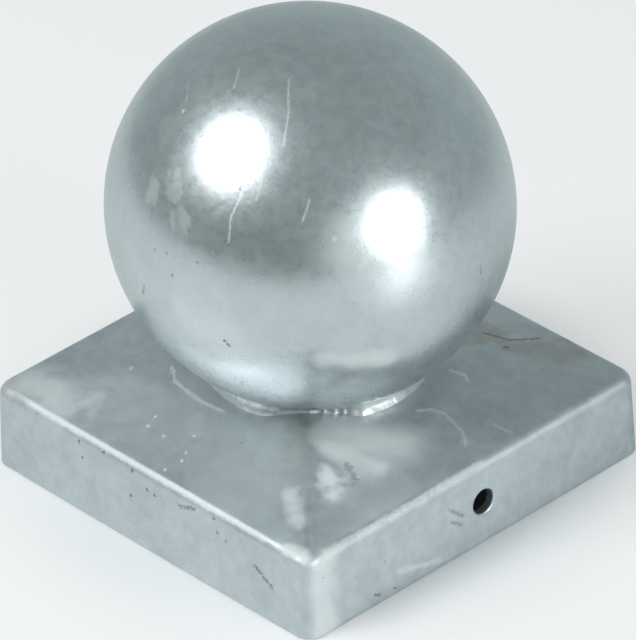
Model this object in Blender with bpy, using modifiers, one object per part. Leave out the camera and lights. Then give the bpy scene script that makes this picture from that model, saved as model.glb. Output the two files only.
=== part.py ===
"""Ball post cap for a square fence post, in hot-dip galvanised steel.

A ball sits in a round seat at the middle of a pressed square cap and is held there by one
weld bead. The cap is a low pyramid with a short skirt that slips over the post.
Metres, +Z up. The origin is the middle of the skirt's rim, on the plane that the rim lies in.
"""

import math

import bmesh
import bpy
from mathutils import Vector

# Cap
SOCKET_WIDTH = 0.0910
SHEET = 0.0020
SKIRT_HEIGHT = 0.01885
SKIRT_FLARE = 0.0006
PYRAMID_RISE = 0.00755
CORNER_RADIUS = 0.0044
BEND_RADIUS = 0.0026
RIDGE_SOFTENING = 0.0016

# Screw holes in the two skirt walls that face along X
SCREW_HOLE_DIAMETER = 0.0055
SCREW_HOLE_HEIGHT = 0.0096
SCREW_HOLE_OFFSET = 0.0018

# Ball, welded a little off the cap's centre and slightly out of round: its radius is larger
# by the last size along the long axis and smaller by as much along the short axis
BALL_RADIUS = 0.04155
BALL_CENTRE = Vector((0.00047, 0.00052, 0.06078))
BALL_OUT_OF_ROUND = 0.00031
BALL_LONG_AXIS = Vector((0.785, 0.460, -0.415)).normalized()
BALL_SHORT_AXIS = Vector((-0.017, 0.686, 0.728)).normalized()

# Weld bead in the nook between ball and cap, with its middle a little above the cap's faces
BEAD_RING_RADIUS = 0.0202
BEAD_THICKNESS = 0.0046
BEAD_LIFT = 0.0005
BEAD_INNER_RADIUS = 0.0208

# Air left between two neighbouring pieces
GAP = 0.0003

# Facets
BALL_STEPS = 64
BALL_RINGS = 32
CORNER_SEGMENTS = 8
BEND_SEGMENTS = 5
BEAD_SIDES = 20
HOLE_SIDES = 32
SHARP_ANGLE = math.radians(40)
BEND_ANGLE_LIMIT = math.radians(60)

# Construction: what is trimmed off below the rim, the flat top that the seat cuts away, and
# how far cutters reach
TRIM_DEPTH = 0.0020
CROWN_HALF = 0.0060
CUTTER_REACH = 0.1900

# Worked out from the sizes above
RIM_HALF = SOCKET_WIDTH / 2 + SHEET
SKIRT_TOP_HALF = RIM_HALF - SKIRT_FLARE
PYRAMID_SLOPE = PYRAMID_RISE / SKIRT_TOP_HALF
BEND_TURN = math.pi / 2 - math.atan(PYRAMID_SLOPE) - math.atan(SKIRT_FLARE / SKIRT_HEIGHT)

# Zinc as colour, roughness and metallic value
ZINC_BALL = ((0.60, 0.64, 0.67), 0.32, 1.0)
ZINC_CAP = ((0.50, 0.54, 0.56), 0.42, 1.0)
ZINC_BEAD = ((0.62, 0.63, 0.62), 0.38, 1.0)


def clear_scene():
    """Remove whatever objects the file holds."""
    for existing in list(bpy.data.objects):
        bpy.data.objects.remove(existing, do_unlink=True)


def make_collection(name):
    """Return a new collection linked to the scene."""
    collection = bpy.data.collections.new(name)
    bpy.context.scene.collection.children.link(collection)
    return collection


def make_material(name, finish):
    """Return a Principled BSDF material from a colour, roughness and metallic value."""
    colour, roughness, metallic = finish
    material = bpy.data.materials.new(name)
    material.use_nodes = True
    shader = material.node_tree.nodes["Principled BSDF"]
    shader.inputs["Base Color"].default_value = (*colour, 1.0)
    shader.inputs["Roughness"].default_value = roughness
    shader.inputs["Metallic"].default_value = metallic
    return material


def add_object(name, bm, collection, material=None):
    """Turn a bmesh into a named object in a collection."""
    mesh = bpy.data.meshes.new(name)
    bm.to_mesh(mesh)
    bm.free()
    placed = bpy.data.objects.new(name, mesh)
    collection.objects.link(placed)
    if material:
        mesh.materials.append(material)
    return placed


def mark_as_cutter(cutter):
    """Hide a cutter from renders and draw it as wire."""
    cutter.hide_render = True
    cutter.display_type = "WIRE"
    return cutter


def cut(target, cutter, name):
    """Subtract a cutter from an object with an exact Boolean."""
    modifier = target.modifiers.new(name, "BOOLEAN")
    modifier.operation = "DIFFERENCE"
    modifier.solver = "EXACT"
    modifier.object = cutter


def smooth_round_faces(placed):
    """Shade an object smooth, with sharp edges where its faces meet at more than SHARP_ANGLE."""
    placed.data.shade_smooth()
    placed.data.set_sharp_from_angle(angle=SHARP_ANGLE)


def pressed_shape(bottom_height, lift=0.0):
    """Return the cap's outer form as a closed bmesh with sharp edges.

    The skirt flares toward its rim by the same angle however low it starts, and the pyramid
    stops at a small flat crown that the ball's seat later cuts away.
    """
    bm = bmesh.new()
    bmesh.ops.create_cube(bm, size=1.0)
    flare_per_height = SKIRT_FLARE / SKIRT_HEIGHT
    for vert in bm.verts:
        height = SKIRT_HEIGHT if vert.co.z > 0 else bottom_height
        half = RIM_HALF - flare_per_height * height
        vert.co.x = math.copysign(half, vert.co.x)
        vert.co.y = math.copysign(half, vert.co.y)
        vert.co.z = height
    top = max(bm.faces, key=lambda face: face.calc_center_median().z)
    run = SKIRT_TOP_HALF - CROWN_HALF
    bmesh.ops.inset_individual(
        bm, faces=[top], thickness=run, depth=run * PYRAMID_SLOPE, use_even_offset=True)
    bmesh.ops.translate(bm, verts=bm.verts, vec=(0.0, 0.0, lift))
    return bm


def round_edges(pressed):
    """Round the upright corners and ridges by edge weight, then the bend round the top."""
    mesh = pressed.data
    weights = mesh.attributes.new("bevel_weight_edge", "FLOAT", "EDGE")
    for edge in mesh.edges:
        low, high = sorted(mesh.vertices[index].co.z for index in edge.vertices)
        if high - low < TRIM_DEPTH:
            continue
        upright = low < SKIRT_HEIGHT / 2
        weights.data[edge.index].value = 1.0 if upright else RIDGE_SOFTENING / CORNER_RADIUS
    upright = pressed.modifiers.new("corners_and_ridges", "BEVEL")
    upright.limit_method = "WEIGHT"
    upright.width = CORNER_RADIUS
    upright.segments = CORNER_SEGMENTS
    bend = pressed.modifiers.new("bend", "BEVEL")
    bend.limit_method = "ANGLE"
    bend.angle_limit = BEND_ANGLE_LIMIT
    bend.width = BEND_RADIUS * math.tan(BEND_TURN / 2)
    bend.segments = BEND_SEGMENTS


def build_cap(parts, cutters):
    """Press the cap from sheet, trim its rim flat and cut the seat and the screw holes."""
    bm = pressed_shape(-TRIM_DEPTH)
    underside = min(bm.faces, key=lambda face: face.calc_center_median().z)
    bmesh.ops.delete(bm, geom=[underside], context="FACES_ONLY")
    cap = add_object("cap", bm, parts, make_material("zinc_cap", ZINC_CAP))
    round_edges(cap)
    sheet = cap.modifiers.new("sheet", "SOLIDIFY")
    sheet.thickness = SHEET
    sheet.offset = -1.0
    sheet.use_even_offset = True
    cut(cap, rim_trim_cutter(cutters), "rim")
    cut(cap, seat_cutter(cutters), "seat")
    cut(cap, screw_hole_cutter(cutters), "screw_holes")
    smooth_round_faces(cap)
    return cap


def rim_trim_cutter(cutters):
    """Return a slab that ends at the rim's plane."""
    bm = bmesh.new()
    bmesh.ops.create_cube(bm, size=1.0)
    thickness = 2 * TRIM_DEPTH
    bmesh.ops.scale(bm, vec=(CUTTER_REACH, CUTTER_REACH, thickness), verts=bm.verts)
    bmesh.ops.translate(bm, vec=(0.0, 0.0, -thickness / 2), verts=bm.verts)
    return mark_as_cutter(add_object("rim_trim_cutter", bm, cutters))


def ball_form(allowance=0.0):
    """Return the ball, larger all round by an allowance, as a bmesh in its place."""
    bm = bmesh.new()
    bmesh.ops.create_uvsphere(bm, u_segments=BALL_STEPS, v_segments=BALL_RINGS, radius=1.0)
    for vert in bm.verts:
        outward = vert.co.normalized()
        stretch = outward.dot(BALL_LONG_AXIS) ** 2 - outward.dot(BALL_SHORT_AXIS) ** 2
        vert.co = outward * (BALL_RADIUS + allowance + BALL_OUT_OF_ROUND * stretch)
    bmesh.ops.translate(bm, vec=BALL_CENTRE, verts=bm.verts)
    return bm


def seat_cutter(cutters):
    """Return the ball's form one gap larger, with its facets in line with the ball's."""
    return mark_as_cutter(add_object("seat_cutter", ball_form(GAP), cutters))


def screw_hole_cutter(cutters):
    """Return a rod along X that passes through both walls with a screw hole."""
    bm = bmesh.new()
    bmesh.ops.create_cone(
        bm, cap_ends=True, segments=HOLE_SIDES, depth=CUTTER_REACH,
        radius1=SCREW_HOLE_DIAMETER / 2, radius2=SCREW_HOLE_DIAMETER / 2)
    rod = add_object("screw_hole_cutter", bm, cutters)
    rod.rotation_euler = (0.0, math.pi / 2, 0.0)
    rod.location = (0.0, SCREW_HOLE_OFFSET, SCREW_HOLE_HEIGHT)
    return mark_as_cutter(rod)


def build_ball(parts):
    """Make the ball, which is sealed and so is solid here."""
    ball = add_object("ball", ball_form(), parts, make_material("zinc_ball", ZINC_BALL))
    smooth_round_faces(ball)
    return ball


def bead_core_cutter(cutters):
    """Return an upright rod that gives the bead a blunt inner wall."""
    bm = bmesh.new()
    bmesh.ops.create_cone(
        bm, cap_ends=True, segments=BALL_STEPS, depth=BALL_RADIUS,
        radius1=BEAD_INNER_RADIUS, radius2=BEAD_INNER_RADIUS)
    rod = add_object("bead_core_cutter", bm, cutters)
    rod.rotation_euler.z = math.pi / BALL_STEPS
    rod.location = (BALL_CENTRE.x, BALL_CENTRE.y, SKIRT_HEIGHT)
    return mark_as_cutter(rod)


def raised_cap_cutter(cutters):
    """Return the cap's outer form, lifted by one gap, to cut the bead's underside."""
    raised = add_object("raised_cap_cutter", pressed_shape(0.0, GAP), cutters)
    round_edges(raised)
    return mark_as_cutter(raised)


def build_weld_bead(parts, cutters):
    """Make the bead from a ring, less the ball above it and the cap below it."""
    cap_height = SKIRT_HEIGHT + PYRAMID_RISE - PYRAMID_SLOPE * BEAD_RING_RADIUS
    bpy.ops.mesh.primitive_torus_add(
        major_segments=BALL_STEPS, minor_segments=BEAD_SIDES,
        major_radius=BEAD_RING_RADIUS, minor_radius=BEAD_THICKNESS / 2,
        location=(BALL_CENTRE.x, BALL_CENTRE.y, cap_height + BEAD_LIFT))
    bead = bpy.context.object
    bead.name = "weld_bead"
    bead.data.name = "weld_bead"
    for collection in list(bead.users_collection):
        collection.objects.unlink(bead)
    parts.objects.link(bead)
    bead.data.materials.append(make_material("zinc_bead", ZINC_BEAD))
    cut(bead, bpy.data.objects["seat_cutter"], "ball")
    cut(bead, raised_cap_cutter(cutters), "cap")
    cut(bead, bead_core_cutter(cutters), "core")
    smooth_round_faces(bead)
    return bead


def main():
    """Build the three pieces in order."""
    clear_scene()
    parts = make_collection("ball_post_cap")
    cutters = make_collection("cutters")
    build_cap(parts, cutters)
    build_ball(parts)
    build_weld_bead(parts, cutters)


main()
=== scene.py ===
"""Looks of a hot-dip galvanised ball post cap: finishes, fine relief, studio and camera."""

import logging
import math
from dataclasses import dataclass, field
from enum import Enum

import bmesh
import bpy
from mathutils import Matrix, Vector, noise


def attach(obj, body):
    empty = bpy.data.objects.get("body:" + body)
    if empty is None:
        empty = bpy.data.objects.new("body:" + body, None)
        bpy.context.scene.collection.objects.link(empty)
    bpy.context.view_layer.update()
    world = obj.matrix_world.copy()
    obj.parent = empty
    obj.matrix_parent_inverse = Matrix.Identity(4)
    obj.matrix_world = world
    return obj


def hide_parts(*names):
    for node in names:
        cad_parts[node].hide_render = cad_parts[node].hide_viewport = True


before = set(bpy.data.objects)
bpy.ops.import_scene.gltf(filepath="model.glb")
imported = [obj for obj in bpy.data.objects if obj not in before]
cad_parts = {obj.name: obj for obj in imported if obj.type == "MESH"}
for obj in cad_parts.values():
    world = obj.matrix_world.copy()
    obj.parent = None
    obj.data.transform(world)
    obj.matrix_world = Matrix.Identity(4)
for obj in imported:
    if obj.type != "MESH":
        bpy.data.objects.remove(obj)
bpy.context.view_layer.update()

Colour = tuple[float, float, float]
Point = tuple[float, float, float]

LOG = logging.getLogger("ball_post_cap")
ROOT = "root"
MM = 0.001
SENSOR_WIDTH = 36.0

# Sizes in the zinc's pattern, in millimetres
CLOUD_SIZE = 9.0
MOTTLE_SIZE = 2.6
GRAIN_SIZE = 0.75
FLECK_SPACING = 1 / 0.34
SPECK_SPACING = 1 / 0.21

# How wide the blots in a mark's ragged edge are, for each unit of its reach
EDGE_NOISE = 1.3


class Axis(Enum):
    """A direction that slicing planes face along."""

    X = (1.0, 0.0, 0.0)
    Y = (0.0, 1.0, 0.0)
    Z = (0.0, 0.0, 1.0)


def new_object(name: str, mesh: bpy.types.Mesh) -> bpy.types.Object:
    """Link a mesh to the scene as an object at the origin.

    Args:
        name: The object's name.
        mesh: The mesh that it shows.

    Returns:
        The new object.
    """
    placed = bpy.data.objects.new(name, mesh)
    bpy.context.scene.collection.objects.link(placed)
    return placed


def mesh_from(name: str, bm: bmesh.types.BMesh) -> bpy.types.Mesh:
    """Write a bmesh into a new mesh and free it.

    Args:
        name: The mesh's name.
        bm: The bmesh, which can't be used afterwards.

    Returns:
        The new mesh.
    """
    mesh = bpy.data.meshes.new(name)
    bm.to_mesh(mesh)
    bm.free()
    return mesh


def shade(mesh: bpy.types.Mesh, sharp_angle: float = 40.0) -> None:
    """Shade a mesh smooth, and sharp where faces meet at a steeper angle.

    Args:
        mesh: The mesh to shade.
        sharp_angle: The steepest smooth angle, in degrees.
    """
    mesh.shade_smooth()
    mesh.set_sharp_from_angle(angle=math.radians(sharp_angle))


class Sketch:
    """A short hand for adding shader nodes to one tree."""

    def __init__(self, tree: bpy.types.NodeTree) -> None:
        """Keep the tree.

        Args:
            tree: The tree that nodes are added to.
        """
        self.tree = tree

    def node(self, kind: str, inputs: dict, **settings: object) -> bpy.types.Node:
        """Add a node.

        Args:
            kind: The node's type.
            inputs: Values or sockets by input name or number.
            settings: Properties of the node itself.

        Returns:
            The new node.
        """
        added = self.tree.nodes.new(kind)
        for name, value in settings.items():
            setattr(added, name, value)
        for key, value in inputs.items():
            if isinstance(value, bpy.types.NodeSocket):
                self.tree.links.new(value, added.inputs[key])
            else:
                added.inputs[key].default_value = value
        return added

    def maths(self, operation: str, *values: object) -> bpy.types.NodeSocket:
        """Do a sum on numbers.

        Args:
            operation: The sum's name.
            values: Numbers or sockets, in order.

        Returns:
            The result.
        """
        return self.node(
            "ShaderNodeMath", dict(enumerate(values)), operation=operation).outputs[0]

    def vector(self, operation: str, *values: object) -> bpy.types.Node:
        """Do a sum on vectors.

        Args:
            operation: The sum's name.
            values: Vectors or sockets, in order.

        Returns:
            The node, whose result is its Vector or its Value.
        """
        return self.node("ShaderNodeVectorMath", dict(enumerate(values)), operation=operation)

    def noise(self, place: bpy.types.NodeSocket, size: float, detail: float = 2.0,
              warp: float = 0.0) -> bpy.types.NodeSocket:
        """Add soft noise.

        Args:
            place: Where it is read, in millimetres.
            size: About how wide its blots are, in millimetres.
            detail: How many finer layers it has.
            warp: How strongly it is drawn out of shape.

        Returns:
            The noise, from 0 to 1.
        """
        return self.node("ShaderNodeTexNoise", {
            "Vector": place, "Scale": 1.0 / size, "Detail": detail, "Distortion": warp,
        }).outputs["Fac"]

    def span(self, value: bpy.types.NodeSocket, low: object, high: object) -> bpy.types.NodeSocket:
        """Map a value softly to a share.

        Args:
            value: The value.
            low: Where the share is 0.
            high: Where the share is 1.

        Returns:
            The share.
        """
        return self.node("ShaderNodeMapRange", {
            "Value": value, "From Min": low, "From Max": high,
        }, interpolation_type="SMOOTHSTEP").outputs["Result"]

    def blend(self, share: object, first: object, second: object) -> bpy.types.NodeSocket:
        """Mix two colours.

        Args:
            share: How much of the second there is.
            first: A colour or a socket.
            second: A colour or a socket.

        Returns:
            The mix.
        """
        added = self.node("ShaderNodeMix", {0: share}, data_type="RGBA")
        for index, value in ((6, first), (7, second)):
            if isinstance(value, bpy.types.NodeSocket):
                self.tree.links.new(value, added.inputs[index])
            else:
                added.inputs[index].default_value = (*value, 1.0)
        return added.outputs[2]


@dataclass(frozen=True)
class PhotoCamera:
    """The photograph's viewpoint, found from the cap's edges and the ball's outline."""

    azimuth: float = 47.776
    elevation: float = 33.153
    roll: float = -2.5405
    distance: float = 1.4282
    lens: float = 388.65
    aim_lift: float = 27.75 * MM

    def axes(self) -> tuple[Vector, Vector, Vector]:
        """Return the camera's right, up and backward directions."""
        turn = math.radians(self.azimuth)
        tilt = math.radians(self.elevation)
        lean = math.radians(self.roll)
        back = Vector((
            math.sin(turn) * math.cos(tilt), -math.cos(turn) * math.cos(tilt), math.sin(tilt)))
        level = Vector((math.cos(turn), math.sin(turn), 0.0))
        upright = back.cross(level)
        right = math.cos(lean) * level + math.sin(lean) * upright
        up = math.cos(lean) * upright - math.sin(lean) * level
        return right, up, back

    def position(self) -> Vector:
        """Return where the camera stands."""
        _, up, back = self.axes()
        return back * self.distance + up * self.aim_lift

    def build(self) -> None:
        """Add the camera and make it the scene's own."""
        data = bpy.data.cameras.new("camera")
        data.lens = self.lens
        data.sensor_width = SENSOR_WIDTH
        data.clip_start = 0.05
        data.clip_end = 20.0
        camera = bpy.data.objects.new("camera", data)
        right, up, back = self.axes()
        turned = Matrix((right, up, back)).transposed().to_4x4()
        camera.matrix_world = Matrix.Translation(self.position()) @ turned
        bpy.context.scene.collection.objects.link(camera)
        bpy.context.scene.camera = camera


@dataclass(frozen=True)
class SoftLight:
    """A round soft light, aimed at the ball from a direction seen by the camera."""

    name: str
    azimuth: float
    elevation: float
    distance: float
    radius: float
    radiance: float

    def build(self, target: Vector) -> None:
        """Add the light.

        Args:
            target: The point that it faces.
        """
        data = bpy.data.lights.new(self.name, "AREA")
        data.shape = "DISK"
        data.size = 2 * self.radius
        data.energy = self.radiance * math.pi * math.pi * self.radius ** 2
        lamp = bpy.data.objects.new(self.name, data)
        turn = math.radians(self.azimuth)
        tilt = math.radians(self.elevation)
        toward = Vector((
            math.sin(turn) * math.cos(tilt), -math.cos(turn) * math.cos(tilt), math.sin(tilt)))
        lamp.location = target + toward * self.distance
        lamp.rotation_euler = toward.to_track_quat("Z", "Y").to_euler()
        bpy.context.scene.collection.objects.link(lamp)


@dataclass(frozen=True)
class Studio:
    """A pale satin floor, three soft lights and a grey room."""

    target: Vector
    floor_radius: float = 0.65
    floor_shift: Vector = field(default_factory=lambda: Vector((-0.115, 0.164, 0.0)))
    floor_colour: Colour = (0.88, 0.89, 0.895)
    floor_roughness: float = 0.38
    floor_glow: float = 0.55
    glow_starts: float = 45 * MM
    glow_full: float = 80 * MM
    room_colour: Colour = (0.315, 0.365, 0.37)
    room_front: Vector = field(default_factory=lambda: Vector((0.42, -0.91, 0.0)))
    front_shade: float = 0.3
    backdrop_colour: Colour = (0.90, 0.91, 0.915)
    lights: tuple[SoftLight, ...] = (
        SoftLight("key_light", azimuth=-19.5, elevation=46.5, distance=0.9, radius=0.235, radiance=9.0),
        SoftLight("side_light", azimuth=95.0, elevation=12.0, distance=0.9, radius=0.19, radiance=9.0),
        SoftLight("glow_light", azimuth=69.0, elevation=8.0, distance=0.9, radius=0.27, radiance=0.5),
    )

    def build(self) -> None:
        """Add the floor, the lights and the room."""
        self._floor()
        self._room()
        for light in self.lights:
            light.build(self.target)

    def _floor(self) -> None:
        """Lay the floor just under the rim, and show it brighter to the camera round the cap."""
        bm = bmesh.new()
        bmesh.ops.create_circle(bm, cap_ends=True, radius=self.floor_radius, segments=128)
        drop = Vector((0.0, 0.0, -0.05 * MM))
        bmesh.ops.translate(bm, vec=self.floor_shift + drop, verts=bm.verts)
        floor = new_object("floor", mesh_from("floor", bm))
        material = bpy.data.materials.new("floor_paper")
        material.use_nodes = True
        shader = material.node_tree.nodes["Principled BSDF"]
        shader.inputs["Base Color"].default_value = (*self.floor_colour, 1.0)
        shader.inputs["Roughness"].default_value = self.floor_roughness
        sketch = Sketch(material.node_tree)
        seen = sketch.node("ShaderNodeLightPath", {}).outputs["Is Camera Ray"]
        glow = sketch.node("ShaderNodeEmission", {"Color": (1.0, 1.0, 1.0, 1.0)})
        place = sketch.node("ShaderNodeTexCoord", {}).outputs["Object"]
        away = sketch.vector("LENGTH", place).outputs["Value"]
        clear = sketch.span(away, self.glow_starts, self.glow_full)
        mix = sketch.node("ShaderNodeMixShader", {
            "Fac": sketch.maths("MULTIPLY", sketch.maths("MULTIPLY", seen, clear), self.floor_glow),
            1: shader.outputs["BSDF"], 2: glow.outputs["Emission"]})
        sketch.tree.links.new(
            mix.outputs["Shader"], sketch.tree.nodes["Material Output"].inputs["Surface"])
        floor.data.materials.append(material)

    def _room(self) -> None:
        """Light the room softly, darker in front, and show its walls as pale as the floor."""
        world = bpy.data.worlds.new("room")
        world.use_nodes = True
        world.node_tree.nodes.clear()
        sketch = Sketch(world.node_tree)
        toward = sketch.node("ShaderNodeTexCoord", {}).outputs["Generated"]
        height = sketch.node("ShaderNodeSeparateXYZ", {"Vector": toward}).outputs["Z"]
        flat = sketch.maths("SUBTRACT", 1.0, sketch.maths("MULTIPLY", height, height))
        level = sketch.maths("POWER", sketch.maths("MAXIMUM", flat, 0.0), 3.0)
        facing = sketch.vector("DOT_PRODUCT", toward, self.room_front).outputs["Value"]
        dim = sketch.maths("MULTIPLY", sketch.maths("MULTIPLY", facing, level), self.front_shade)
        unseen = sketch.node("ShaderNodeBackground", {
            "Color": (*self.room_colour, 1.0), "Strength": sketch.maths("SUBTRACT", 1.0, dim)})
        seen = sketch.node("ShaderNodeBackground", {"Color": (*self.backdrop_colour, 1.0)})
        path = sketch.node("ShaderNodeLightPath", {})
        mix = sketch.node("ShaderNodeMixShader", {
            "Fac": path.outputs["Is Camera Ray"], 1: unseen.outputs["Background"],
            2: seen.outputs["Background"]})
        sketch.node("ShaderNodeOutputWorld", {"Surface": mix.outputs["Shader"]})
        bpy.context.scene.world = world


class GroupName(Enum):
    """The shared node groups."""

    GRAIN = "zinc_grain"
    MARK = "mark"


def new_group(name: GroupName, inputs: dict[str, str], outputs: dict[str, str]) -> Sketch:
    """Start a node group.

    Args:
        name: The group's name.
        inputs: Socket types by name.
        outputs: Socket types by name.

    Returns:
        A sketch of the group's tree, with its input and output nodes in place.
    """
    tree = bpy.data.node_groups.new(name.value, "ShaderNodeTree")
    for label, kind in inputs.items():
        tree.interface.new_socket(label, in_out="INPUT", socket_type=kind)
    for label, kind in outputs.items():
        tree.interface.new_socket(label, in_out="OUTPUT", socket_type=kind)
    tree.nodes.new("NodeGroupInput")
    tree.nodes.new("NodeGroupOutput")
    return Sketch(tree)


def grain_group() -> bpy.types.NodeTree:
    """Return the zinc coat's pattern: clouds, mottle, fine grain, pale flecks and dark specks.

    Returns:
        The group's tree. It is made once and shared by all three pieces.
    """
    found = bpy.data.node_groups.get(GroupName.GRAIN.value)
    if found:
        return found
    number = "NodeSocketFloat"
    sketch = new_group(
        GroupName.GRAIN, {"Place": "NodeSocketVector"},
        {"Cloud": number, "Mottle": number, "Grain": number, "Fleck": number, "Speck": number})
    nodes = sketch.tree.nodes
    place = nodes["Group Input"].outputs["Place"]
    fleck_ring = sketch.node(
        "ShaderNodeTexVoronoi", {"Vector": place, "Scale": 1 / FLECK_SPACING})
    fleck_fine = sketch.maths("ADD", fleck_ring.outputs["Distance"], sketch.noise(place, 0.5))
    speck_ring = sketch.node(
        "ShaderNodeTexVoronoi", {"Vector": place, "Scale": 1 / SPECK_SPACING})
    speck_fine = sketch.maths("ADD", speck_ring.outputs["Distance"], sketch.noise(place, 0.6))
    results = {
        "Cloud": sketch.noise(place, CLOUD_SIZE, 2.0, 0.4),
        "Mottle": sketch.noise(place, MOTTLE_SIZE, 4.0, 0.6),
        "Grain": sketch.noise(place, GRAIN_SIZE, 3.0),
        "Fleck": sketch.span(fleck_fine, 0.56, 0.44),
        "Speck": sketch.span(speck_fine, 0.50, 0.42),
    }
    for label, socket in results.items():
        sketch.tree.links.new(socket, nodes["Group Output"].inputs[label])
    return sketch.tree


def mark_group() -> bpy.types.NodeTree:
    """Return a mask that is Strength along a line between two points and 0 away from it.

    Returns:
        The group's tree. Rough is added to the distance, which is measured in reaches.
    """
    found = bpy.data.node_groups.get(GroupName.MARK.value)
    if found:
        return found
    vector, number = "NodeSocketVector", "NodeSocketFloat"
    sketch = new_group(
        GroupName.MARK,
        {"Place": vector, "Start": vector, "End": vector, "Reach": number, "Rough": number,
         "Soft": number, "Strength": number},
        {"Mask": number})
    nodes = sketch.tree.nodes
    given = nodes["Group Input"].outputs
    run = sketch.vector("SUBTRACT", given["End"], given["Start"]).outputs["Vector"]
    away = sketch.vector("SUBTRACT", given["Place"], given["Start"]).outputs["Vector"]
    square = sketch.vector("DOT_PRODUCT", run, run).outputs["Value"]
    part = sketch.node("ShaderNodeVectorMath", {
        0: run, "Scale": sketch.maths("DIVIDE", 1.0, square)}, operation="SCALE").outputs["Vector"]
    along = sketch.vector("DOT_PRODUCT", away, part).outputs["Value"]
    kept = sketch.node("ShaderNodeClamp", {"Value": along}).outputs["Result"]
    step = sketch.node("ShaderNodeVectorMath", {0: run, "Scale": kept}, operation="SCALE")
    gap = sketch.vector("DISTANCE", away, step.outputs["Vector"]).outputs["Value"]
    ratio = sketch.maths(
        "MULTIPLY_ADD", gap, sketch.maths("DIVIDE", 1.0, given["Reach"]), given["Rough"])
    mask = sketch.node("ShaderNodeMapRange", {
        "Value": ratio, "From Min": sketch.maths("ADD", 1.0, given["Soft"]),
        "From Max": sketch.maths("SUBTRACT", 1.0, given["Soft"]), "To Max": given["Strength"],
    }, interpolation_type="SMOOTHSTEP").outputs["Result"]
    sketch.tree.links.new(mask, nodes["Group Output"].inputs["Mask"])
    return sketch.tree


class Tint(Enum):
    """What a mark does to the zinc."""

    PALE = "pale"
    DARK = "dark"
    BROWN = "brown"


@dataclass(frozen=True)
class Mark:
    """A mark along a line on the surface, in millimetres of the part's own space."""

    start: Point
    end: Point
    reach: float
    strength: float = 1.0
    ragged: float = 4.5
    soft: float = 0.35


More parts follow.
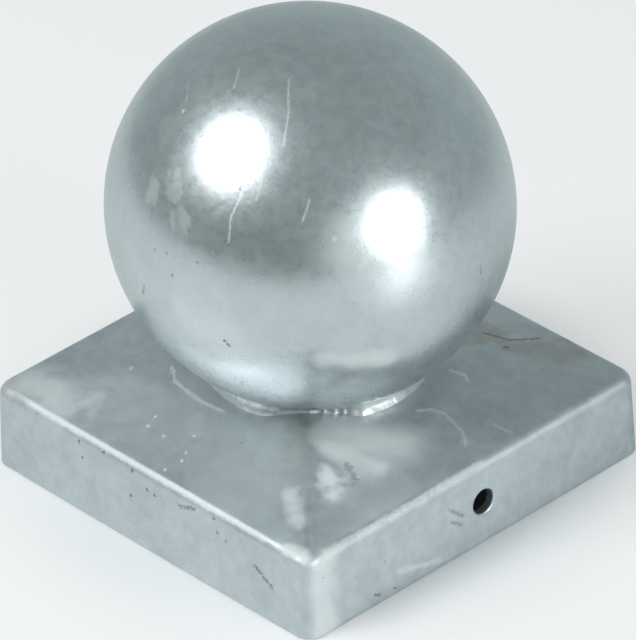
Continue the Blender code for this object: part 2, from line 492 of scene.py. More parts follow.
@dataclass(frozen=True)
class ZincFinish:
    """Galvanised steel: a metal with a pattern in its colour, gloss and height, and marks; some marks
    are painted highlights, painted reflections and painted shade.

    Heights are in millimetres. Each mark dulls the metal by its tint's share.
    """

    name: str
    colour: Colour
    roughness: float
    bloom: float = 0.0
    # Colour of pale marks: zinc bloom, flecks, runs and scratches, and also painted highlights, painted
    # reflections and painted light.
    bloom_and_painted_light_colour: Colour = (0.74, 0.78, 0.78)
    # Colour of dark marks: pits and streaks, and also painted shade.
    dark_colour: Colour = (0.13, 0.14, 0.14)
    brown_colour: Colour = (0.40, 0.37, 0.31)
    cloud_depth: float = 0.03
    mottle_depth: float = 0.04
    uneven_gloss: float = 0.06
    flecks: float = 0.0
    specks: float = 0.0
    grain_height: float = 0.004
    mottle_height: float = 0.004
    pale_dulls: float = 0.85
    dark_dulls: float = 0.7
    brown_dulls: float = 0.35
    dull_roughens: float = 0.25
    marks: dict[Tint, tuple[Mark, ...]] = field(default_factory=dict)

    def build(self) -> bpy.types.Material:
        """Make the finish.

        Returns:
            A material whose bump is the grain and the mottle only.
        """
        material = bpy.data.materials.new(self.name)
        material.use_nodes = True
        sketch = Sketch(material.node_tree)
        shader = material.node_tree.nodes["Principled BSDF"]
        coordinates = sketch.node("ShaderNodeTexCoord", {}).outputs["Object"]
        place = sketch.node(
            "ShaderNodeVectorMath", {0: coordinates, "Scale": 1 / MM}, operation="SCALE"
        ).outputs["Vector"]
        grain = sketch.tree.nodes.new("ShaderNodeGroup")
        grain.node_tree = grain_group()
        sketch.tree.links.new(place, grain.inputs["Place"])
        pattern = grain.outputs

        edges = self._edge_noises(sketch, place)
        pale = self._masks(sketch, place, edges, Tint.PALE)
        dark = self._masks(sketch, place, edges, Tint.DARK)
        brown = self._masks(sketch, place, edges, Tint.BROWN)
        flecks = sketch.maths("MULTIPLY", pattern["Fleck"], self.flecks)
        specks = sketch.maths("MULTIPLY", pattern["Speck"], self.specks)
        veil = sketch.maths(
            "MULTIPLY", sketch.span(pattern["Mottle"], 0.35, 0.72), self.bloom)
        pale = sketch.maths("MAXIMUM", pale, sketch.maths("MAXIMUM", flecks, veil))
        dark = sketch.maths("MAXIMUM", dark, specks)

        shadow = tuple(part * (1 - self.cloud_depth) for part in self.colour)
        gleam = tuple(min(part * (1 + self.cloud_depth), 1.0) for part in self.colour)
        metal = sketch.blend(sketch.span(pattern["Cloud"], 0.3, 0.7), shadow, gleam)
        dim = tuple(1 - self.mottle_depth for _ in self.colour)
        veined = sketch.blend(sketch.span(pattern["Mottle"], 0.3, 0.7), dim, (1.0, 1.0, 1.0))
        metal = sketch.node(
            "ShaderNodeMix", {0: 1.0, 6: metal, 7: veined}, data_type="RGBA",
            blend_type="MULTIPLY").outputs[2]
        metal = sketch.blend(brown, metal, self.brown_colour)
        # Pale marks, flecks and veil: real zinc bloom, runs and scratches, and also painted highlights,
        # painted reflections and painted light.
        metal = sketch.blend(pale, metal, self.bloom_and_painted_light_colour)
        # Dark marks and specks: real pits and streaks, and also painted shade.
        metal = sketch.blend(dark, metal, self.dark_colour)
        sketch.tree.links.new(metal, shader.inputs["Base Color"])

        dull = sketch.maths("ADD", sketch.maths("MULTIPLY", pale, self.pale_dulls), sketch.maths(
            "ADD", sketch.maths("MULTIPLY", dark, self.dark_dulls),
            sketch.maths("MULTIPLY", brown, self.brown_dulls)))
        metallic = sketch.node(
            "ShaderNodeMath", {0: 1.0, 1: dull}, operation="SUBTRACT", use_clamp=True).outputs[0]
        sketch.tree.links.new(metallic, shader.inputs["Metallic"])

        uneven = sketch.maths(
            "MULTIPLY", sketch.maths("ADD", pattern["Mottle"], pattern["Grain"]),
            self.uneven_gloss)
        rough = sketch.maths("ADD", uneven, self.roughness - self.uneven_gloss)
        rough = sketch.maths("ADD", rough, sketch.maths("MULTIPLY", dull, self.dull_roughens))
        sketch.tree.links.new(rough, shader.inputs["Roughness"])

        height = sketch.maths("ADD",
                              sketch.maths("MULTIPLY", pattern["Grain"], self.grain_height),
                              sketch.maths("MULTIPLY", pattern["Mottle"], self.mottle_height))
        bump = sketch.node("ShaderNodeBump", {"Height": height, "Distance": MM, "Strength": 1.0})
        sketch.tree.links.new(bump.outputs["Normal"], shader.inputs["Normal"])
        return material

    def _edge_noises(self, sketch: Sketch,
                     place: bpy.types.NodeSocket) -> dict[float, bpy.types.NodeSocket]:
        """Return the noise that makes edges ragged, once for all marks of one reach.

        Args:
            sketch: The material's tree.
            place: The place on the part, in millimetres.

        Returns:
            Noise about 0, by reach.
        """
        reaches = {mark.reach for marks in self.marks.values() for mark in marks}
        return {
            reach: sketch.maths("SUBTRACT", sketch.noise(place, EDGE_NOISE * reach, 4.0), 0.5)
            for reach in sorted(reaches)}

    def _masks(self, sketch: Sketch, place: bpy.types.NodeSocket,
               edges: dict[float, bpy.types.NodeSocket], tint: Tint) -> bpy.types.NodeSocket:
        """Return the strongest of all marks of one tint at each place.

        Args:
            sketch: The material's tree.
            place: The place on the part, in millimetres.
            edges: The edge noises by reach.
            tint: The tint.

        Returns:
            A mask from 0 to 1.
        """
        total = sketch.node("ShaderNodeValue", {}).outputs[0]
        total.default_value = 0.0
        for mark in self.marks.get(tint, ()):
            added = sketch.tree.nodes.new("ShaderNodeGroup")
            added.node_tree = mark_group()
            rough = sketch.maths("MULTIPLY", edges[mark.reach], mark.ragged)
            sketch.tree.links.new(place, added.inputs["Place"])
            sketch.tree.links.new(rough, added.inputs["Rough"])
            added.inputs["Start"].default_value = mark.start
            added.inputs["End"].default_value = mark.end
            added.inputs["Reach"].default_value = mark.reach
            added.inputs["Soft"].default_value = mark.soft
            added.inputs["Strength"].default_value = mark.strength
            total = sketch.maths("MAXIMUM", total, added.outputs["Mask"])
        return total


@dataclass(frozen=True)
class BallForm:
    """The ball's form: a little out of round, and welded a little off the cap's centre."""

    centre: Vector = field(default_factory=lambda: Vector((0.47, 0.52, 60.78)) * MM)
    radius: float = 41.55 * MM
    out_of_round: float = 0.31 * MM
    long_axis: Vector = field(
        default_factory=lambda: Vector((0.785, 0.460, -0.415)).normalized())
    short_axis: Vector = field(
        default_factory=lambda: Vector((-0.017, 0.686, 0.728)).normalized())

    def reach(self, outward: Vector) -> float:
        """Return the distance from the centre to the surface.

        Args:
            outward: The direction, one metre long.

        Returns:
            The distance.
        """
        stretch = outward.dot(self.long_axis) ** 2 - outward.dot(self.short_axis) ** 2
        return self.radius + self.out_of_round * stretch

    def underside(self, x: float, y: float) -> float:
        """Return the height of the ball's underside above a point of the floor.

        Args:
            x: The point's X.
            y: The point's Y.

        Returns:
            The height.
        """
        across = math.hypot(x - self.centre.x, y - self.centre.y)
        drop = math.sqrt(self.radius ** 2 - across ** 2)
        outward = Vector((x - self.centre.x, y - self.centre.y, -drop)).normalized()
        return self.centre.z - math.sqrt(self.reach(outward) ** 2 - across ** 2)


@dataclass
class Ball:
    """The ball, as a fine mesh with very shallow waves."""

    form: BallForm
    finish: ZincFinish
    subdivisions: int = 7
    wave_depth: float = 0.04 * MM
    wave_length: float = 9.0 * MM
    inset: float = 0.01 * MM

    def build(self) -> bpy.types.Object:
        """Return the finished ball."""
        bm = bmesh.new()
        bmesh.ops.create_icosphere(bm, subdivisions=self.subdivisions, radius=1.0)
        for vert in bm.verts:
            outward = vert.co.normalized()
            wave = 0.5 + 0.5 * noise.noise(outward * self.form.radius / self.wave_length)
            depth = self.inset + self.wave_depth * min(max(wave, 0.0), 1.0)
            vert.co = outward * (self.form.reach(outward) - depth)
        bmesh.ops.translate(bm, vec=self.form.centre, verts=bm.verts)
        mesh = mesh_from("ball_surface", bm)
        mesh.shade_smooth()
        ball = new_object("ball_surface", mesh)
        mesh.materials.append(self.finish.build())
        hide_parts("ball")
        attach(ball, ROOT)
        return ball


@dataclass
class PressedCap:
    """The cap pressed from sheet, with its seat, screw holes and soft edges."""

    ball: BallForm
    finish: ZincFinish
    rim_half: float = 47.5 * MM
    skirt_height: float = 18.85 * MM
    flare: float = 0.6 * MM
    rise: float = 7.55 * MM
    crown_half: float = 6.0 * MM
    sheet: float = 2.0 * MM
    corner_radius: float = 4.4 * MM
    bend_radius: float = 2.4 * MM
    ridge_softening: float = 1.6 * MM
    rim_softening: float = 0.35 * MM
    gap: float = 0.3 * MM
    hole_radius: float = 2.75 * MM
    hole_height: float = 9.6 * MM
    hole_offset: float = 1.8 * MM
    hole_softening: float = 0.45 * MM
    cell: float = 1.0 * MM
    slice_shift: float = 0.37
    level_shift: float = 0.13
    wave_depth: float = 0.08 * MM
    wave_length: float = 11.0 * MM
    wave_shift: Vector = field(default_factory=lambda: Vector((3.1, 1.7, 0.4)))
    ripple_share: float = 0.08
    ripple_length: float = 3.3 * MM

    @property
    def top_half(self) -> float:
        """Half the width at the height where skirt and pyramid would meet."""
        return self.rim_half - self.flare

    @property
    def slope(self) -> float:
        """The pyramid's rise for each metre inward."""
        return self.rise / self.top_half

    def height_at(self, x: float, y: float) -> float:
        """Return the height of the pyramid's outer face, rounded along its ridges.

        Args:
            x: The point's X.
            y: The point's Y.

        Returns:
            The height above the floor.
        """
        blend = self.ridge_softening / 2
        far, near = max(abs(x), abs(y)), min(abs(x), abs(y))
        overlap = max(blend - (far - near), 0.0) / blend
        reach = far + overlap * overlap * blend / 4
        return self.skirt_height + self.rise - self.slope * reach

    def build(self) -> bpy.types.Object:
        """Return the finished cap."""
        rough = new_object("cap_surface", mesh_from("cap_rough", self._sharp_form()))
        self._add_modifiers(rough)
        cutters = [self._seat_cutter(), self._hole_cutter()]
        for cutter in cutters:
            cut = rough.modifiers.new(cutter.name, "BOOLEAN")
            cut.operation = "DIFFERENCE"
            cut.solver = "EXACT"
            cut.object = cutter
        view = bpy.context.evaluated_depsgraph_get()
        mesh = bpy.data.meshes.new_from_object(rough.evaluated_get(view))
        rough.modifiers.clear()
        for cutter in cutters:
            bpy.data.objects.remove(cutter, do_unlink=True)
        mesh.name = "cap_surface"
        self._refine(mesh)
        shade(mesh)
        rough.data = mesh
        mesh.materials.clear()
        mesh.materials.append(self.finish.build())
        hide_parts("cap")
        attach(rough, ROOT)
        return rough

    def _sharp_form(self) -> bmesh.types.BMesh:
        """Return the open outer form with sharp edges."""
        bm = bmesh.new()
        bmesh.ops.create_cube(bm, size=1.0)
        for vert in bm.verts:
            top = vert.co.z > 0
            half = self.top_half if top else self.rim_half
            vert.co.x = math.copysign(half, vert.co.x)
            vert.co.y = math.copysign(half, vert.co.y)
            vert.co.z = self.skirt_height if top else 0.0
        bm.faces.ensure_lookup_table()
        top_face = max(bm.faces, key=lambda face: face.calc_center_median().z)
        run = self.top_half - self.crown_half
        bmesh.ops.inset_individual(
            bm, faces=[top_face], thickness=run, depth=run * self.slope, use_even_offset=True)
        underside = min(bm.faces, key=lambda face: face.calc_center_median().z)
        bmesh.ops.delete(bm, geom=[underside], context="FACES_ONLY")
        return bm

    def _add_modifiers(self, rough: bpy.types.Object) -> None:
        """Round the edges and give the sheet its thickness.

        Args:
            rough: The open form with sharp edges.
        """
        mesh = rough.data
        weights = mesh.attributes.new("bevel_weight_edge", "FLOAT", "EDGE")
        for edge in mesh.edges:
            low, high = sorted(mesh.vertices[index].co.z for index in edge.vertices)
            if high - low < 0.1 * MM:
                continue
            upright = low < self.skirt_height / 2
            weights.data[edge.index].value = (
                1.0 if upright else self.ridge_softening / self.corner_radius)
        corners = rough.modifiers.new("corners", "BEVEL")
        corners.limit_method = "WEIGHT"
        corners.width = self.corner_radius
        corners.segments = 12
        bend = rough.modifiers.new("bend", "BEVEL")
        bend.limit_method = "ANGLE"
        bend.angle_limit = math.radians(60)
        turn = math.pi / 2 - math.atan(self.slope) - math.atan(self.flare / self.skirt_height)
        bend.width = self.bend_radius * math.tan(turn / 2)
        bend.segments = 8
        solid = rough.modifiers.new("sheet", "SOLIDIFY")
        solid.thickness = self.sheet
        solid.offset = -1.0
        solid.use_even_offset = True

    def _seat_cutter(self) -> bpy.types.Object:
        """Return the round form that the ball's seat is cut with."""
        bm = bmesh.new()
        bmesh.ops.create_uvsphere(bm, u_segments=192, v_segments=96, radius=1.0)
        for vert in bm.verts:
            outward = vert.co.normalized()
            vert.co = outward * (self.ball.reach(outward) + self.gap)
        bmesh.ops.translate(bm, vec=self.ball.centre, verts=bm.verts)
        return new_object("seat_cutter", mesh_from("seat_cutter", bm))

    def _hole_cutter(self) -> bpy.types.Object:
        """Return a rod along X that widens in a quarter round at both outer faces.

        Returns:
            The cutter for both screw holes, made as one half and mirrored.
        """
        outer = self.rim_half - self.flare * self.hole_height / self.skirt_height
        soft = self.hole_softening
        steps = 6
        profile = [(0.0, 0.0), (0.0, self.hole_radius)]
        for step in range(steps + 1):
            angle = math.pi / 2 * step / steps
            profile.append((
                outer - soft + soft * math.sin(angle),
                self.hole_radius + soft - soft * math.cos(angle)))
        profile.append((outer + 2 * soft, self.hole_radius + 1.2 * soft))
        profile.append((outer + 2 * soft, 0.0))
        bm = bmesh.new()
        verts = [bm.verts.new((x, 0.0, radius)) for x, radius in profile]
        edges = [bm.edges.new(pair) for pair in zip(verts, verts[1:])]
        bmesh.ops.spin(
            bm, geom=verts + edges, axis=(1.0, 0.0, 0.0), cent=(0.0, 0.0, 0.0),
            angle=2 * math.pi, steps=64, use_merge=True)
        bmesh.ops.remove_doubles(bm, verts=bm.verts, dist=0.0001 * MM)
        bmesh.ops.mirror(bm, geom=bm.verts[:] + bm.edges[:] + bm.faces[:], axis="X",
                         merge_dist=0.001 * MM)
        bmesh.ops.remove_doubles(bm, verts=bm.verts, dist=0.001 * MM)
        middle = [
            face for face in bm.faces
            if abs(face.calc_center_median().x) < 0.001 * MM and abs(face.normal.x) > 0.9]
        bmesh.ops.delete(bm, geom=middle, context="FACES")
        bmesh.ops.recalc_face_normals(bm, faces=bm.faces)
        bmesh.ops.translate(bm, vec=(0.0, self.hole_offset, self.hole_height), verts=bm.verts)
        return new_object("hole_cutter", mesh_from("hole_cutter", bm))

    def _refine(self, mesh: bpy.types.Mesh) -> None:
        """Soften the rim and slice the sheet into small cells.

        Args:
            mesh: The cut sheet.
        """
        bm = bmesh.new()
        bm.from_mesh(mesh)
        bmesh.ops.remove_doubles(bm, verts=bm.verts, dist=0.0005 * MM)
        for vert in bm.verts:
            if vert.co.z < 0.2 * MM:
                vert.co.z = 0.0
        rim = [edge for edge in bm.edges
               if max(vert.co.z for vert in edge.verts) < 0.01 * MM
               and edge.calc_face_angle(0.0) > math.radians(45)]
        bmesh.ops.bevel(
            bm, geom=rim, offset=self.rim_softening, offset_type="OFFSET", segments=3,
            profile=0.5, affect="EDGES", material=-1)
        for vert in bm.verts:
            vert.co.z = max(vert.co.z, 0.0)
        bmesh.ops.triangulate(bm, faces=[face for face in bm.faces if len(face.verts) > 4])
        count = int(self.rim_half / self.cell)
        for axis in (Axis.X, Axis.Y):
            for step in range(-count, count + 1):
                self._slice(bm, axis, (step + self.slice_shift) * self.cell)
        for step in range(1, int(self.skirt_height / self.cell) - 2):
            self._slice(bm, Axis.Z, (step + self.level_shift) * self.cell)
        self._wave(bm)
        bm.to_mesh(mesh)
        bm.free()

    def _depth_below_form(self, place: Vector) -> float:
        """Return how far a point lies inside the outer form with sharp edges.

        Args:
            place: The point.

        Returns:
            The depth, below 0 outside the form.
        """
        lean = self.flare / self.skirt_height
        half = self.rim_half - lean * place.z
        return min(half - abs(place.x), half - abs(place.y),
                   self.height_at(place.x, place.y) - place.z)

    def _wave(self, bm: bmesh.types.BMesh) -> None:
        """Press shallow waves into the outer faces and leave the inner ones plain.

        Args:
            bm: The sliced sheet.
        """
        bm.normal_update()
        full, none = 0.7 * self.sheet, 0.95 * self.sheet
        moves = []
        for vert in bm.verts:
            share = (none - self._depth_below_form(vert.co)) / (none - full)
            share = min(max(share, 0.0), 1.0)
            wave = 0.5 + 0.5 * noise.noise(vert.co / self.wave_length + self.wave_shift)
            ripple = 0.5 + 0.5 * noise.noise(vert.co / self.ripple_length)
            mixed = (1 - self.ripple_share) * wave + self.ripple_share * ripple
            depth = self.wave_depth * min(max(mixed, 0.0), 1.0)
            moves.append((vert, vert.normal * share * depth))
        for vert, move in moves:
            low = vert.co.z < 0.001 * MM
            vert.co -= move
            vert.co.z = 0.0 if low else max(vert.co.z, 0.0)

    @staticmethod
    def _slice(bm: bmesh.types.BMesh, axis: Axis, place: float) -> None:
        """Cut every face that a plane crosses.

        Args:
            bm: The bmesh to cut.
            axis: The direction that the plane faces.
            place: The plane's distance from the origin along it.
        """
        normal = Vector(axis.value)
        bmesh.ops.bisect_plane(
            bm, geom=bm.verts[:] + bm.edges[:] + bm.faces[:], dist=0.002 * MM,
            plane_co=normal * place, plane_no=normal)


@dataclass(frozen=True)
class Swing:
    """A change of the bead's foot about one direction, with angles in degrees from +X."""

    angle: float
    width: float
    change: float

    def at(self, degrees: float, power: int = 2) -> float:
        """Return the change in a direction.

        Args:
            degrees: The direction.
            power: How flat the middle of the change is.

        Returns:
            The change, in metres.
        """
        return self.change * math.exp(-((degrees - self.angle) / self.width) ** power)


@dataclass
class WeldBead:
    """The uneven fillet of weld and zinc in the nook between ball and cap."""

    cap: PressedCap
    finish: ZincFinish
    foot_radius: float = 22.6 * MM
    front: Swing = Swing(-46.0, 21.0, -2.1 * MM)
    side: Swing = Swing(28.0, 22.0, 0.7 * MM)
    left: Swing = Swing(-124.0, 20.0, 0.8 * MM)
    hidden_radius: float = 18.0 * MM
    ridge_cover: float = 1.1 * MM
    hollow: float = 0.27
    overlap: float = 0.35 * MM
    lump: float = 0.30 * MM
    lump_length: float = 3.0 * MM
    fine_lump: float = 0.12 * MM
    fine_lump_length: float = 0.9 * MM
    drop: float = 0.24 * MM
    drop_width: float = 1.3
    drops: tuple[float, ...] = (-40.0, -34.0, -28.5, -19.0)
    steps: int = 960
    sides: int = 32

    def build(self) -> bpy.types.Object:
        """Return the finished bead."""
        bm = bmesh.new()
        bmesh.ops.create_circle(bm, cap_ends=False, radius=MM, segments=self.sides)
        bmesh.ops.rotate(
            bm, verts=bm.verts, cent=(0.0, 0.0, 0.0), matrix=Matrix.Rotation(math.pi / 2, 3, "X"))
        bmesh.ops.translate(bm, vec=(self.foot_radius, 0.0, 0.0), verts=bm.verts)
        bmesh.ops.spin(
            bm, geom=bm.verts[:] + bm.edges[:], axis=(0.0, 0.0, 1.0), cent=(0.0, 0.0, 0.0),
            angle=2 * math.pi, steps=self.steps, use_merge=True)
        bmesh.ops.remove_doubles(bm, verts=bm.verts, dist=0.0005 * MM)
        bmesh.ops.recalc_face_normals(bm, faces=bm.faces)
        for vert in bm.verts:
            self._place(vert)
        mesh = mesh_from("weld_bead_surface", bm)
        mesh.shade_smooth()
        bead = new_object("weld_bead_surface", mesh)
        mesh.materials.append(self.finish.build())
        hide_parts("weld_bead")
        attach(bead, ROOT)
        return bead

    def _foot(self, around: float) -> float:
        """Return how far from the ball's axis the bead ends on the cap.

        Args:
            around: The direction, in radians from +X.

        Returns:
            The distance.
        """
        degrees = math.degrees(around)
        return (self.foot_radius + self.front.at(degrees, 4) + self.side.at(degrees)
                + self.left.at(degrees))

    def _inner(self, around: float) -> float:
        """Return how far from the ball's axis the bead begins, hidden under the ball.

        Args:
            around: The direction, in radians from +X.

        Returns:
            The distance, greatest toward the cap's ridges.
        """
        return self.hidden_radius + self.ridge_cover * abs(math.sin(2 * around))

    def _swell(self, around: float, rise: float) -> float:
        """Return how far lumps and drops stand out of the plain fillet.

        Args:
            around: The direction, in radians from +X.
            rise: The height on the fillet, from -1 at the cap to 1 at the ball.

        Returns:
            The swelling, below 0 in a dip.
        """
        on_ring = Vector((math.cos(around), math.sin(around), 0.0)) * self.foot_radius
        place = on_ring + Vector((0.0, 0.0, rise * MM))
        swell = (self.lump * noise.noise(place / self.lump_length)
                 + self.fine_lump * noise.noise(place / self.fine_lump_length))
        for angle in self.drops:
            swell += Swing(angle, self.drop_width, self.drop).at(math.degrees(around))
        return swell

    def _place(self, vert: bmesh.types.BMVert) -> None:
        """Move a point of a plain ring to the bead's surface.

        Args:
            vert: The point, on a ring 1 mm thick about the foot radius.
        """
        centre = self.cap.ball.centre
        around = math.atan2(vert.co.y, vert.co.x)
        across = (math.hypot(vert.co.x, vert.co.y) - self.foot_radius) / MM
        rise = min(max(vert.co.z / MM, -1.0), 1.0)
        foot, inner = self._foot(around), self._inner(around)
        if across > 0:
            swell = self._swell(around, rise)
            depth = self.hollow * (self.cap.ball.underside(centre.x + foot, centre.y)
                                   - self.cap.height_at(foot, 0.0))
            reach = foot + (swell - depth) * math.cos(rise * math.pi / 2)
        else:
            reach = foot - (foot - inner) * math.sqrt(-min(across, 0.0))
        x, y = centre.x + reach * math.cos(around), centre.y + reach * math.sin(around)
        face, under = self.cap.height_at(x, y), self.cap.ball.underside(x, y)
        half = max(under - face, 0.0) / 2 + self.overlap
        vert.co = Vector((x, y, (face + under) / 2 + rise * half))


def ball_finish() -> ZincFinish:
    """Return the ball's finish: smooth zinc with scratches, flecks and a few pale smudges, and a
    painted reflection low on its front.
    """
    return ZincFinish(
        "zinc_ball_finish", (0.62, 0.675, 0.69), 0.29, bloom=0.04, flecks=0.12, specks=0.10,
        grain_height=0.013, mottle_height=0.005, uneven_gloss=0.10,
        marks={
            Tint.PALE: (
                Mark((9.3, -11.7, 99.5), (12.0, -14.6, 97.7), 0.22, 0.30),
                Mark((12.0, -14.6, 97.7), (14.1, -16.4, 96.2), 0.22, 0.30),
                Mark((14.1, -16.4, 96.2), (17.3, -21.1, 92.0), 0.22, 0.35),
                Mark((-1.2, -15.2, 99.2), (1.1, -19.0, 97.5), 0.22, 0.25),
                Mark((-10.0, -21.0, 94.7), (-7.3, -24.2, 93.3), 0.22, 0.25),
                Mark((15.0, -30.4, 84.5), (14.7, -33.6, 79.8), 0.25, 0.45),
                Mark((14.7, -33.6, 79.8), (15.7, -35.3, 75.4), 0.22, 0.40),
                Mark((26.0, -22.7, 83.8), (26.5, -25.3, 80.3), 0.22, 0.35),
                Mark((-6.6, -25.7, 92.2), (-6.3, -26.0, 92.0), 0.3, 0.5),
                Mark((11.7, -32.8, 83.0), (11.8, -32.8, 82.8), 0.3, 0.5),
                Mark((31.7, -21.7, 76.9), (31.7, -21.7, 76.8), 0.35, 0.5),
                Mark((17.3, -27.2, 86.8), (17.9, -29.6, 83.5), 0.18, 0.3),
                Mark((0.0, -34.5, 83.2), (1.3, -35.5, 81.4), 1.8, 0.22, 6.0, 0.6),
                Mark((-5.6, -36.0, 79.6), (-4.8, -36.9, 78.0), 1.8, 0.22, 6.0, 0.6),
                Mark((3.7, -37.1, 78.0), (4.5, -37.8, 76.4), 1.8, 0.22, 6.0, 0.6),
                Mark((5.1, -40.8, 60.2), (5.3, -40.7, 58.8), 1.2, 0.18, 5.0, 0.6),
                # Painted reflection: a broad pale patch low on the ball's front.
                Mark((31.6, -25.0, 49.8), (37.1, -13.8, 47.4), 2.1, 0.7, 1.6, 0.95),
            ),
            Tint.DARK: (
                Mark((11.0, -29.1, 87.9), (11.1, -29.2, 87.8), 0.25, 0.6),
                Mark((14.2, -30.3, 85.0), (14.2, -30.4, 84.8), 0.25, 0.6),
                Mark((-1.0, -40.2, 68.8), (-0.9, -40.3, 68.6), 0.25, 0.6),
                Mark((2.4, -40.1, 69.3), (2.5, -40.1, 69.1), 0.25, 0.6),
                Mark((9.9, -38.9, 69.9), (10.2, -38.9, 69.8), 0.25, 0.6),
                Mark((4.2, -40.6, 65.1), (4.2, -40.7, 64.9), 0.25, 0.6),
                Mark((-4.5, -40.7, 58.7), (-5.3, -40.4, 56.3), 0.25, 0.6),
                Mark((15.2, -37.5, 53.0), (16.1, -36.8, 51.3), 0.3, 0.8),
                Mark((14.6, -32.8, 40.4), (14.3, -32.6, 39.9), 0.3, 0.8),
                Mark((13.6, -33.8, 41.4), (13.4, -33.6, 41.0), 0.25, 0.7),
                Mark((41.3, 8.2, 60.8), (41.3, 8.2, 58.9), 0.25, 0.6),
                Mark((17.4, -17.3, 94.3), (18.1, -17.3, 93.9), 0.2, 0.5),
            ),
        })


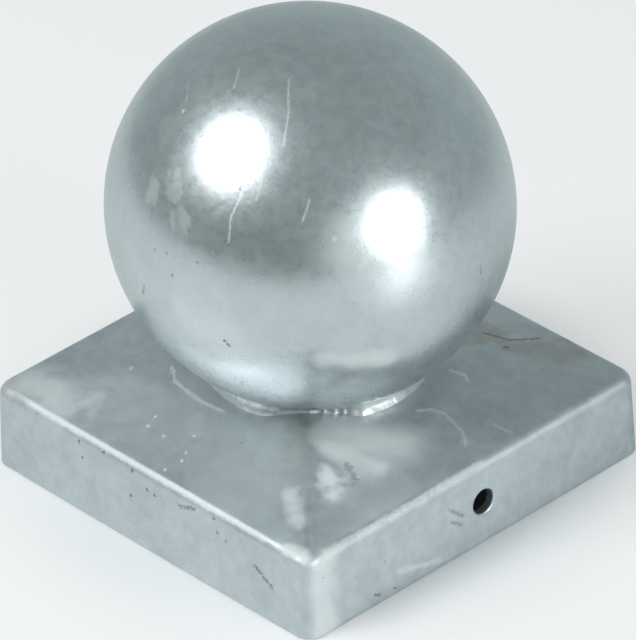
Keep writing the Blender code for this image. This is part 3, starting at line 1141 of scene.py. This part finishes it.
def cap_finish() -> ZincFinish:
    """Return the cap's finish: mottled zinc with pale blooms, runs, pits and brown films, and painted
    highlights, a painted reflection and painted shade.
    """
    return ZincFinish(
        "zinc_cap_finish", (0.61, 0.665, 0.69), 0.46, bloom=0.06, flecks=0.28, specks=0.3,
        cloud_depth=0.05, mottle_depth=0.08, uneven_gloss=0.1,
        grain_height=0.007, mottle_height=0.008,
        marks={
            Tint.PALE: (
                # Painted reflection and painted highlights: pale patches on the faces either side of
                # the front ridge, near the ball.
                Mark((23.5, -12.5, 22.6), (31.5, -7.5, 21.4), 5.0, 0.95, 1.6, 0.95),
                Mark((24.0, -17.5, 22.4), (33.0, -15.5, 21.1), 3.6, 0.8, 2.4, 0.9),
                Mark((30.0, -24.6, 21.5), (34.8, -28.0, 20.9), 2.2, 0.9, 3.2, 0.95),
                Mark((28.6, -33.6, 21.1), (36.0, -39.0, 20.3), 1.5, 0.65, 3.2, 0.95),
                Mark((-42.0, -42.0, 19.5), (-28.0, -41.5, 19.7), 5.0, 0.5, 3.0, 0.9),
                # Painted highlights: thin pale lines along the top bends on both sides of the front
                # corner.
                Mark((-32.0, -46.3, 18.6), (34.0, -46.3, 18.6), 0.5, 0.6, 5.0, 0.8),
                Mark((46.3, -40.0, 18.6), (46.3, 2.0, 18.6), 0.5, 0.65, 5.0, 0.8),
                # Painted highlights: two pale spots at the top of the front corner, one on each side of
                # it.
                Mark((40.0, -45.6, 19.0), (44.2, -45.3, 19.0), 1.5, 0.95, 2.5, 0.9),
                Mark((46.9, -43.4, 16.6), (46.8, -41.0, 17.8), 1.3, 0.95, 2.5, 0.9),
                Mark((-24.0, -33.0, 21.2), (18.0, -33.0, 21.2), 11.0, 0.17, 2.5, 0.9),
                Mark((-20.1, -21.1, 23.0), (-15.7, -24.1, 22.5), 0.4, 0.5, 4.5, 0.6),
                Mark((-15.7, -24.1, 22.5), (-7.6, -25.2, 22.3), 0.5, 0.5, 4.5, 0.6),
                Mark((-7.6, -25.2, 22.3), (-1.1, -24.8, 22.4), 0.5, 0.5, 4.5, 0.6),
                Mark((27.4, 3.0, 22.0), (28.5, 5.3, 21.8), 0.4, 0.5),
                Mark((28.5, 5.3, 21.8), (31.3, 6.8, 21.4), 0.4, 0.5),
                Mark((31.3, 6.8, 21.4), (37.7, 5.6, 20.3), 0.35, 0.45),
                Mark((37.7, 5.6, 20.3), (40.9, 3.2, 19.8), 0.35, 0.45),
                Mark((22.8, 17.2, 22.7), (24.9, 18.3, 22.4), 0.5, 0.5),
                Mark((24.9, 18.3, 22.4), (27.6, 17.7, 22.0), 0.4, 0.5),
                Mark((40.2, 12.2, 19.9), (43.6, 13.1, 19.4), 0.35, 0.4),
                Mark((-27.1, -26.2, 22.0), (-26.7, -26.5, 22.1), 0.35, 0.7),
                Mark((-10.5, -36.7, 20.5), (-10.1, -36.8, 20.5), 0.3, 0.7),
                Mark((-11.4, -33.9, 20.9), (-11.2, -34.1, 20.9), 0.3, 0.7),
                Mark((-5.5, -36.9, 20.5), (-5.3, -37.1, 20.4), 0.3, 0.7),
                Mark((-0.4, -33.2, 21.0), (-0.2, -33.5, 21.0), 0.3, 0.7),
                Mark((2.1, -37.8, 20.3), (2.3, -38.0, 20.3), 0.3, 0.7),
                Mark((3.2, -40.0, 20.0), (3.4, -40.2, 19.9), 0.3, 0.7),
                Mark((2.5, -43.8, 19.4), (2.7, -44.0, 19.3), 0.3, 0.7),
                Mark((47.4, -22.2, 4.7), (47.4, -11.2, 2.0), 0.6, 0.4),
                # Painted highlight: a soft pale band down the front corner of the skirt.
                Mark((46.9, -42.5, 16.0), (47.3, -43.0, 1.5), 3.0, 0.6, 2.0, 0.9),
            ),
            Tint.DARK: (
                Mark((15.8, 33.6, 21.0), (21.1, 35.6, 20.7), 0.4, 0.6),
                Mark((21.1, 35.6, 20.7), (24.1, 41.3, 19.7), 0.4, 0.6),
                Mark((22.7, 32.5, 21.2), (22.8, 32.7, 21.1), 0.5, 0.7),
                Mark((29.8, -19.6, 21.6), (34.3, -21.2, 20.9), 0.6, 0.5),
                # Painted shade: a soft dark line along the front ridge.
                Mark((31.0, -31.0, 21.2), (42.5, -42.5, 19.5), 0.7, 0.3, 1.5, 0.8),
                # Painted shade: broad darkening of the right-hand face, along its front bend and over
                # its back half.
                Mark((41.5, -36.0, 19.7), (41.5, 0.0, 19.7), 3.8, 0.3, 1.2, 0.95),
                Mark((36.0, 12.0, 20.6), (38.0, 36.0, 20.3), 12.0, 0.13, 1.0, 0.95),
                # Painted shade: dims the front-left bend's highlight near the left corner.
                Mark((-47.0, -46.6, 18.3), (-38.0, -46.6, 18.3), 1.1, 0.35, 4.0, 0.95),
                Mark((-20.4, -47.0, 17.1), (-20.4, -47.0, 16.8), 0.3, 0.8),
                Mark((-13.0, -46.9, 17.8), (-13.1, -46.9, 17.5), 0.3, 0.8),
                Mark((-4.3, -46.9, 17.5), (-4.3, -47.0, 17.2), 0.3, 0.8),
                Mark((-19.6, -47.1, 13.5), (-19.3, -47.1, 13.4), 0.25, 0.8),
                Mark((-4.9, -47.1, 11.2), (-4.9, -47.2, 10.9), 0.3, 0.8),
                Mark((0.1, -47.0, 14.9), (0.1, -47.0, 14.7), 0.3, 0.8),
                Mark((2.1, -47.0, 14.5), (2.4, -47.0, 14.4), 0.25, 0.8),
                Mark((9.6, -47.0, 15.3), (14.4, -47.0, 16.8), 0.35, 0.6, 7.0),
                Mark((19.7, -47.0, 17.2), (20.0, -47.0, 17.1), 0.25, 0.8),
                Mark((20.8, -47.0, 14.3), (21.1, -47.0, 14.2), 0.25, 0.8),
                Mark((23.4, -47.1, 13.4), (23.4, -47.1, 13.2), 0.25, 0.8),
                Mark((31.8, -47.1, 11.2), (33.8, -47.2, 10.5), 0.4, 0.6, 7.0),
                Mark((34.4, -47.2, 9.8), (36.7, -47.2, 8.5), 0.4, 0.6, 7.0),
                Mark((47.1, -7.7, 12.3), (47.2, -4.2, 9.1), 0.35, 0.5, 7.0),
                Mark((47.2, -7.3, 9.2), (47.3, -4.6, 7.2), 0.3, 0.5, 7.0),
                Mark((47.4, -29.3, 2.7), (47.4, -28.0, 2.1), 0.25, 0.8),
                Mark((47.4, -23.9, 1.6), (47.5, -23.6, 1.5), 0.25, 0.8),
            ),
            Tint.BROWN: (
                Mark((14.5, -17.5, 23.6), (23.0, -25.0, 22.4), 2.6, 0.30, 4.0, 0.8),
                Mark((13.0, 32.0, 21.3), (30.9, 40.3, 19.9), 4.5, 0.5, 5.0, 0.7),
            ),
        })


def bead_finish() -> ZincFinish:
    """Return the bead's finish: lumpy zinc, pale where it spread on the right-hand face, and painted
    light on its front.
    """
    return ZincFinish(
        "zinc_bead_finish", (0.66, 0.70, 0.71), 0.30, bloom=0.1, flecks=0.3, specks=0.3,
        grain_height=0.01, mottle_height=0.02, uneven_gloss=0.1,
        marks={
            Tint.PALE: (
                Mark((21.5, -7.5, 24.0), (22.8, 2.0, 24.0), 1.8, 0.55, 1.6, 0.7),
                # Painted light: makes the front of the bead paler.
                Mark((-8.0, -21.0, 23.4), (6.0, -21.6, 23.4), 1.6, 0.25, 3.0, 0.9),
            ),
            Tint.DARK: (Mark((18.5, -7.6, 24.4), (20.0, -5.8, 24.4), 0.6, 0.8, 3.0),),
        })


def main() -> None:
    """Build the looks in order and report each piece."""
    logging.basicConfig(level=logging.INFO, format="%(message)s")
    bpy.context.scene.view_settings.view_transform = "Standard"
    form = BallForm()
    PhotoCamera().build()
    Studio(target=form.centre).build()
    ball = Ball(form, ball_finish()).build()
    cap_builder = PressedCap(form, cap_finish())
    cap = cap_builder.build()
    bead = WeldBead(cap_builder, bead_finish()).build()
    for piece in (ball, cap, bead):
        LOG.info("%s: %d faces", piece.name, len(piece.data.polygons))


if __name__ == "__main__":
    main()
